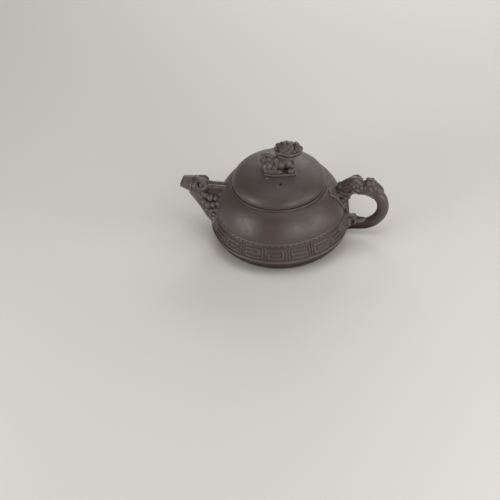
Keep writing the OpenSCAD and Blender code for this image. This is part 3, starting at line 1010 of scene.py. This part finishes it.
def make_loop():
    loop = Clay((47, -8, 3), (85, 8, 51), STEP, fold=True)
    line = [[51.4, 0, 9.8, 4.9], [54.5, 0, 9.6, 4.35], [58, 0, 9.5, 4.2]]
    line += [[*loop_point(a), loop_half(a)] for a in range(-90, 91, 12)]
    line += [[57, 0, 45.1, 4.9]]
    loop.add(roll(line, 2), 0.3)
    loop.cut(roll([[*loop_point(a, 0.9, 4.8), 0.55] for a in range(56, 104, 6)]), 0.3)
    # rolled edge along the inside of the bend, under the crest
    loop.add(roll([[*loop_point(a, -2.6, 3.9), 1.0] for a in range(46, 100, 6)]), 0.35)
    loop.cut(roll([[*loop_point(a, -1.2, 5.0), 0.4] for a in range(46, 100, 6)]), 0.3)
    # curl and leaf at the lower end
    loop.add(egg((55.4, 0.6, 13.8), (4.2, 3.8, 4.3)), 0.6)
    loop.add(roll(curl((56.2, 4.0, 14.6), (0.05, 0.8, 0.6), 3.1, 1.05, start=-50, turns=1.2), 1),
             0.2)
    loop.cut(ball((56.2, 4.8, 15.2), 1.5), 0.3)
    loop.add(roll([[57.2, 2.8, 14.2, 1.5], [60.2, 2.6, 13.5, 1.3], [63.0, 2.2, 13.6, 1.0],
                   [65.2, 1.6, 14.2, 0.5]]), 0.5)
    loop.cut(roll([[58, 4.4, 13.4, 0.3], [61, 4.2, 12.6, 0.35], [64.4, 3.2, 12.9, 0.25]]), 0.25)
    settle(loop, 2.2, 2.6)
    finish_piece(sculpt("handle_loop_clay", loop), "pot", BODY_CLAY, "body_clay",
                 "handle_loop", "handle_curl")


def make_handle_head():
    head = Clay((42, -10, 33), (81, 10, 57), STEP, fold=True)
    # skull: straight along the top from the nostrils up to the brow
    head.add(roll([[46.9, 0, 45.4, 3.3], [50.6, 0, 46.4, 4.5], [54.6, 0, 47.8, 5.4],
                   [58.4, 0, 48.7, 5.9], [62.4, 0, 46.8, 5.0]]), 0.4)
    head.add(egg((51.2, 2.4, 44.8), (6.0, 3.0, 3.0), (0, -8, 8)), 1.4)
    # nostrils and the lip above the open mouth
    head.add(ball((46.4, 2.3, 46.8), 1.7), 0.9)
    head.cut(ball((45.2, 3.7, 46.9), 0.6), 0.3)
    head.cut(roll([[48, 3.2, 49.0, 0.5], [51.6, 3.9, 49.9, 0.5], [54.6, 4.2, 51.6, 0.4]]), 0.5)
    head.add(roll([[44.9, 2.4, 43.7, 0.9], [47.6, 4.6, 42.9, 1.1], [50.8, 5.7, 42.7, 1.2],
                   [54, 6.2, 43.4, 1.1]]), 0.45)
    head.cut(roll([[45.2, 3.8, 45.2, 0.35], [49, 5.7, 44.7, 0.5], [53.4, 6.9, 45.0, 0.45]]), 0.3)
    head.add(roll([[46.6, 3.2, 41.2, 0.9], [49.6, 5.0, 40.2, 1.2], [52.8, 5.8, 40.2, 1.2]]), 0.4)
    # brow, eye and cheek
    head.add(roll([[55, 4.4, 50.9, 0.9], [57.2, 3.7, 52.6, 1.2], [59.8, 3.4, 53.2, 1.4],
                   [62, 3.8, 51.4, 1.2]]), 0.5)
    head.cut(egg((57.4, 6.4, 50.2), (2.6, 1.3, 1.5), (-30, 0, 12)), 0.35)
    head.add(ball((57.3, 5.6, 49.9), 1.3), 0.1)
    head.cut(roll([[53.4, 6, 49.4, 0.3], [56.4, 7.0, 47.9, 0.4], [60.6, 6.8, 48.0, 0.4]]), 0.4)
    locks(head, [(59.8, 5.3, 46.6, 1.8, 20), (56.4, 6.0, 45.2, 1.7, 100),
                 (53.4, 5.6, 41.6, 1.7, 200), (57.4, 4.4, 43.6, 1.4, 330),
                 (62.6, 4.4, 48.6, 1.8, 300), (63.6, 3.0, 50.2, 1.6, 150)], (0.05, 0.9, 0.5))
    # beard that runs down the wall behind the jaw
    head.add(roll([[54, 0, 43.4, 4.4], [50.6, 0, 39.4, 4.6]]), 1.0)
    locks(head, [(47.6, 5.0, 41.2, 1.7, 60), (50.4, 5.4, 39.6, 1.9, 180),
                 (48.6, 5.4, 37.6, 1.6, 300), (53.2, 4.4, 38.8, 1.6, 20)], (0.1, 0.9, 0.5))
    # crest and its locks
    head.add(roll([[62.4, 0, 46.6, 4.4], [66.4, 0, 47.0, 4.2], [69.8, 0, 48.0, 4.2],
                   [73, 0, 45.8, 4.2], [75.6, 0, 42.2, 4.6]]), 0.8)
    locks(head, [(66.0, 3.2, 47.6, 2.0, 320), (68.4, 2.6, 50.6, 2.0, 30),
                 (71.2, 2.6, 50.4, 1.9, 160), (69.6, 4.4, 47.6, 1.9, 80),
                 (73.0, 3.6, 47.4, 1.9, 260), (74.9, 2.6, 45.6, 1.7, 200)],
          (0.1, 0.8, 0.6))
    head.add(roll([[66.4, 0, 49.6, 1.7], [69.4, 0, 51.4, 1.9], [72.2, 0, 49.8, 1.7]]), 0.5)
    head.cut(roll([[64.8, 0, 52.4, 1.0], [64.8, 3, 51.0, 0.9], [64.8, 5.4, 47.8, 0.5]]), 0.4)
    head.keep(lambda x, y, z: -pot_distance(x, y, z) + 0.4)
    finish_piece(sculpt("handle_head_clay", head), "pot", TRIM_CLAY, "trim_clay",
                 "handle_head", "handle_brows", "handle_crest")


# Outline of the dragon's lower jaw on the wall, as points of [y, z]: it spreads towards -Y
# beside the mouth collar and runs down to a point on the shoulder.
JAW_EDGE = [(-2.6, 48.9), (-7.7, 48.3), (-11.9, 47.0), (-10.4, 44.1), (-8.9, 40.1),
            (-7.7, 33.8), (-3.3, 26.6), (3.3, 26.6), (7.4, 33.8), (5.6, 39.6), (2.8, 44.4)]


def flat_region(corners, a, b):
    """Distance from a closed flat outline, below zero inside it."""
    nearest, inside = None, False
    for (a0, b0), (a1, b1) in zip(corners, corners[1:] + corners[:1]):
        d = line_distance(a, b, (a0, b0), (a1, b1))
        nearest = d if nearest is None else np.minimum(nearest, d)
        crosses = ((b0 > b) != (b1 > b)) & (a < (a1 - a0) * (b - b0) / (b1 - b0) + a0)
        inside = inside ^ crosses
    return np.where(inside, -nearest, nearest)


def on_wall(y, z, out):
    """Point on the pot's wall at a given y and z on the handle's side, stood off by out."""
    radius = float(np.interp(z, POT_OUTLINE[:, 1], POT_OUTLINE[:, 0])) + out
    return [math.sqrt(radius * radius - y * y), y, z]


def make_jaw():
    jaw = Clay((36, -14, 17), (58, 11, 51), STEP)

    def plate(x, y, z):
        wall = pot_distance(x, y, z)
        region = flat_region(JAW_EDGE, y + 0 * z, z + 0 * y)
        return np.maximum(np.maximum(wall - 0.95, -wall - 1.0), region)

    jaw.add(((36, -14, 17), (58, 11, 51), plate), 0.3)
    jaw.add(ball(on_wall(-2.6, 48.6, 0.6), 0.8), 0.5)
    near = [(-7.7, 47.9), (-11.4, 46.8), (-10.3, 44.1), (-8.8, 40.1), (-7.4, 33.8), (-3.2, 26.9)]
    jaw.add(roll([[*on_wall(y, z, 0.7), 0.75] for y, z in near]), 0.4)
    far = [(2.9, 44.2), (5.4, 39.6), (7.1, 33.8), (3.2, 26.9)]
    jaw.add(roll([[*on_wall(y, z, 0.7), 0.7] for y, z in far]), 0.4)
    inner = [(-8.0, 45.6), (-7.4, 41), (-5.8, 35.5), (-2.4, 29)]
    jaw.cut(roll([[*on_wall(y, z, 1.0), 0.45] for y, z in inner]), 0.3)
    # beard: a thick rib of hair down the middle, with curled locks on both sides
    jaw.add(roll([[50, 0, 39.0, 4.2], [49.8, 0, 34, 3.6], [50.3, 0, 29.6, 3.0],
                  [51.3, 0, 24.6, 2.2], [52.4, 0, 19.6, 1.4]]), 0.8)
    for y, z, size in ((-4.4, 41.0, 1.9), (-4.6, 36.6, 2.2), (-3.4, 32.2, 1.9), (-2.6, 28.2, 1.6),
                       (4.2, 37.2, 2.1), (3.2, 32.0, 1.8), (-1.6, 24.4, 1.3), (1.8, 27.4, 1.4)):
        centre = np.array(on_wall(y, z, 1.1))
        normal = unit([centre[0], 2.2 * centre[1], 14])
        jaw.add(ball(centre, size), 0.4)
        jaw.cut(roll(curl(centre + normal * size * 0.97, normal, size * 0.6, size * 0.17,
                          start=40 * y, turns=1.0), 1), 0.25)
    jaw.keep(lambda x, y, z: 37.5 - np.sqrt(x * x + y * y))
    jaw.keep(lambda x, y, z: -pot_distance(x, y, z) - 1.0)
    finish_piece(sculpt("handle_jaw_clay", jaw), "pot", TRIM_CLAY, "trim_clay",
                 "handle_jaw", "handle_rosettes")


make_loop()
make_handle_head()
make_jaw()


# ---------------------------------------------------------------- knob

PLINTH_Z = 66.6


def make_plinth():
    """Thin plate under the lion with a soft edge, sunk into the dome."""
    plate = Clay((-15, -17, 60), (15, 11, 69), STEP)
    corners = [(-11.6, -11.4), (-6.6, -13.6), (8, -14.0), (12.6, -13.4), (12.8, 4), (10, 7.2),
               (-9, 7.4), (-11.8, 4)]

    def slab(x, y, z):
        region = flat_region(corners, x + 0 * y, y + 0 * x)
        return np.maximum(np.maximum(region, z - PLINTH_Z + 0.02 * x), 62.4 - z)

    plate.add(((-15, -17, 60), (15, 11, 69), slab), 1.0)
    plate.add(roll([[-11, -11.3, PLINTH_Z - 0.4, 0.7], [-6.2, -13.3, PLINTH_Z - 0.4, 0.75],
                    [2, -13.8, PLINTH_Z - 0.5, 0.8], [12, -13.2, PLINTH_Z - 0.8, 0.8]]), 0.5)
    plate.add(ball((-9.6, -14.2, 64.6), 1.3), 0.8)
    roof = bezier(DOME, np.linspace(0, 1, 60))[::-1]

    def under_roof(x, y, z):
        radius = np.sqrt(x * x + y * y)
        height = np.interp(radius, roof[:, 0], roof[:, 1]).astype(np.float32)
        return (height - 1.2 - z) * 0.9

    plate.keep(under_roof)
    finish_piece(sculpt("knob_plinth_clay", plate, turn_deg=LID_TURN), "lid", LID_CLAY,
                 "lid_clay", "knob_plinth")


def carve_curl(clay, centre, size, start):
    """A round lock facing the front and up, with a spiral cut into it."""
    toward = unit((0, -0.8, 0.6))
    clay.add(ball(centre, size), 0.4)
    clay.cut(roll(curl(np.array(centre) + toward * size * 0.97, toward, size * 0.6,
                       size * 0.17, start=start, turns=1.0), 1), 0.25)


def make_lion_body():
    """Lion lying on the plate with its body along X, its haunch at -X."""
    body = Clay((-17, -16, 64), (15, 11, 86), STEP)
    top, mid = PLINTH_Z, -3.0
    # trunk: round rump, hollow back, chest and neck
    body.add(roll([[-8.4, mid, top + 5.4, 5.2], [-4, mid, top + 5.6, 4.6],
                   [1.5, mid, top + 5.6, 5.0], [5.8, mid, top + 6.4, 5.3],
                   [8.6, mid + 0.4, top + 10.4, 4.8]]), 0.4)
    for side in (-1, 1):
        # haunch, hind leg and long hind paw
        body.add(egg((-8.6, mid + 4.6 * side, top + 3.9), (4.1, 3.2, 4.6), (0, 22, 0)), 0.35)
        body.add(roll([[-9.6, mid + 6.6 * side, top + 1.9, 2.2],
                       [-6, mid + 7.8 * side, top + 1.5, 1.9],
                       [-2.4, mid + 8.6 * side, top + 1.3, 1.6]]), 0.4)
        body.add(egg((-0.6, mid + 8.8 * side, top + 1.4), (2.8, 1.7, 1.6)), 0.3)
        # belly and shoulder, with a fold between them and the haunch
        body.add(egg((0.9, mid + 4.2 * side, top + 4.0), (4.4, 3.0, 4.0)), 0.5)
        body.add(egg((6.8, mid + 4.4 * side, top + 5.0), (2.9, 2.5, 4.2), (0, -14, 0)), 0.4)
        body.add(egg((-3.2, mid + 5.0 * side, top + 2.8), (2.6, 2.8, 3.0)), 0.6)
        body.cut(roll([[-3.8, mid + 5.2 * side, top + 7.6, 0.5],
                       [-3.0, mid + 7.4 * side, top + 4.6, 0.35]]), 0.5)
        # fore leg and paw
        body.add(roll([[8.6, mid + 4.8 * side, top + 4.4, 2.0],
                       [11.2, mid + 6.4 * side, top + 1.9, 1.7],
                       [9.6, mid + 8.0 * side, top + 1.3, 1.6]]), 0.4)
        body.add(egg((8.8, mid + 8.8 * side, top + 1.5), (2.5, 1.9, 1.7)), 0.35)
        body.cut(ball((4.0, mid + 7.9 * side, top + 1.5), 1.7), 0.5)
        for k in (-1.1, 0.1, 1.3):
            body.cut(roll([[8.4 + k, mid + 9.4 * side, top + 3.0, 0.22],
                           [8.2 + k * 1.2, mid + 10.7 * side, top + 1.0, 0.25]]), 0.15)
        for k in (-0.7, 0.4):
            body.cut(roll([[0.4, mid + (8.8 + k) * side, top + 3.0, 0.2],
                           [2.2, mid + (8.9 + k) * side, top + 1.4, 0.22]]), 0.15)
    # tail curled up over the rump
    body.add(roll([[-12.0, -2.6, top + 5.4, 1.8], [-13.0, -2.8, top + 8, 1.8],
                   [-11.4, -3, top + 10.6, 1.9], [-8.0, -3.2, top + 11.8, 1.8],
                   [-5.4, -3.6, top + 10.6, 1.5], [-4.8, -3.8, top + 8.8, 1.1]]), 0.5)
    for x, y, z, size, start in ((-10.6, -5.0, 8.8, 2.0, 40), (-7.2, -5.4, 9.2, 2.1, 160),
                                 (-10.8, -0.8, 9.8, 1.8, 200), (-7.4, -0.8, 10.4, 1.8, 0)):
        carve_curl(body, (x, y, top + z), size, start)
    # spine and a tuft on the back
    for x in (-3.6, -1.2, 1.2):
        body.add(egg((x, mid - 0.4, top + 9.6 + 0.02 * x * x), (1.3, 1.6, 1.1)), 0.5)
    body.add(roll([[-1.4, mid - 4.6, top + 6.2, 0.9], [-1.7, mid - 3.0, top + 9, 1.1]]), 0.8)
    body.keep(lambda x, y, z: top - 1.6 - z + 0 * x + 0 * y)
    finish_piece(sculpt("lion_body_clay", body, turn_deg=LID_TURN), "lid", KNOB_CLAY,
                 "knob_clay", "lion_body", "lion_legs", "lion_tail")


def make_lion_head():
    """The lion's head is turned to the front and looks a little up."""
    head = Clay((-5, -13, 71), (21, 8, 90), STEP)
    head.add(egg((6.6, -1.8, 82.2), (6.2, 5.2, 5.2)), 0.5)
    head.add(egg((9.6, -1.6, 80.0), (8.2, 4.8, 4.8)), 1.2)
    # flat crown with a shallow parting
    head.add(roll([[1.9, -0.2, 84.0, 2.1], [6.0, 0.2, 85.0, 2.2], [9.6, 0, 84.4, 2.1]]), 1.0)
    head.cut(roll([[6.4, 1.6, 88.2, 0.6], [6.8, -2.4, 87.2, 0.5], [7.0, -5.2, 85.2, 0.3]]), 0.6)
    # curls of the mane at both sides and behind
    for x, y, z, size, start in (
            (-1.0, -0.4, 81.2, 2.2, 20), (-0.6, -2.8, 78.8, 1.8, 140), (0.4, 2.2, 82.6, 1.9, 260),
            (14.4, -0.6, 83.0, 2.5, 60), (17.0, -0.8, 80.4, 2.1, 320), (15.4, -3.4, 80.8, 2.0, 180),
            (14.2, 1.8, 82.8, 1.9, 90), (3.4, 2.6, 83.2, 2.0, 0), (7, 2.8, 83.8, 2.0, 200),
            (10.6, 2.4, 83.0, 2.0, 80), (1.0, 3.2, 80.8, 2.0, 300), (4.8, 3.8, 80.8, 2.1, 20),
            (8.8, 3.8, 80.8, 2.1, 150), (12.8, 3.2, 80.8, 2.1, 240), (16, 1.4, 79.4, 1.9, 60)):
        carve_curl(head, (x, y, z), size, start)
    head.cut(roll([[12.0, 1.8, 86.0, 1.1], [11.9, -1.2, 85.4, 1.0], [12.0, -4.2, 83.2, 0.7],
                   [13.2, -5.6, 81.4, 0.55], [15.4, -5.4, 80.3, 0.4]]), 0.35)
    head.cut(roll([[0.4, 0.6, 84.0, 0.7], [0.6, -2.6, 82.8, 0.6], [1.2, -4.8, 80.9, 0.45]]), 0.35)
    # brows, eyes, nose and cheeks
    head.add(egg((7.0, -6.6, 81.6), (2.0, 1.5, 1.5)), 0.8)
    for side in (-1, 1):
        head.add(roll([[7.0 + 0.8 * side, -6.3, 83.6, 0.5], [7.0 + 2.6 * side, -6.2, 84.3, 0.7],
                       [7.0 + 4.4 * side, -5.0, 83.8, 0.6]]), 0.5)
        head.add(ball((7.0 + 2.7 * side, -6.2, 82.7), 0.95), 0.12)
        head.add(egg((7.0 + 4.4 * side, -5.2, 80.8), (2.2, 1.8, 1.4)), 0.7)
        head.cut(ball((7.0 + 0.8 * side, -8.0, 81.2), 0.3), 0.2)
    # wide mouth: two long lips, drawn up at the corners, with a dark line between
    head.add(roll([[-0.9, -3.8, 80.0, 0.85], [2.4, -6.2, 80.2, 1.0], [6.4, -7.6, 80.0, 1.15],
                   [10.6, -7.4, 79.5, 1.1], [14.6, -5.6, 79.4, 1.0], [18.0, -2.4, 79.8, 0.8]]),
             0.25)
    head.add(roll([[0.4, -4.0, 77.0, 0.9], [4.4, -6.4, 76.6, 1.1], [8.8, -7.2, 76.3, 1.2],
                   [13.2, -6.0, 76.3, 1.1], [17.2, -2.8, 77.2, 0.8]]), 0.25)
    head.cut(roll([[-0.2, -4.6, 78.5, 0.55], [3.6, -7.1, 78.4, 0.75], [8.4, -8.2, 78.1, 0.8],
                   [12.8, -7.0, 77.9, 0.75], [17.2, -3.8, 78.5, 0.55]]), 0.2)
    head.cut(roll([[0.2, -4.8, 80.9, 0.4], [3.0, -6.5, 80.7, 0.4], [10.8, -7.2, 80.2, 0.45],
                   [15.2, -5.5, 80.2, 0.4]]), 0.25)
    # beard and throat
    for x, z, size in ((3.6, 75.2, 1.5), (6.8, 74.4, 1.7), (10.2, 74.8, 1.5), (13, 75.8, 1.3)):
        carve_curl(head, (x, -4.8, z), size, 40 * x)
    head.add(roll([[8, -2.4, 79, 4.8], [7.6, -2.6, 75, 4.4]]), 0.8)
    finish_piece(sculpt("lion_head_clay", head, turn_deg=LID_TURN), "lid", KNOB_CLAY,
                 "knob_clay", "lion_head", "lion_mane")


make_plinth()
make_lion_body()
make_lion_head()


# ---------------------------------------------------------------- finish

for node in ("base_plate", "foot_ring", "strainer"):
    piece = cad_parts[node]
    piece.data.materials.clear()
    piece.data.materials.append(BODY_CLAY)
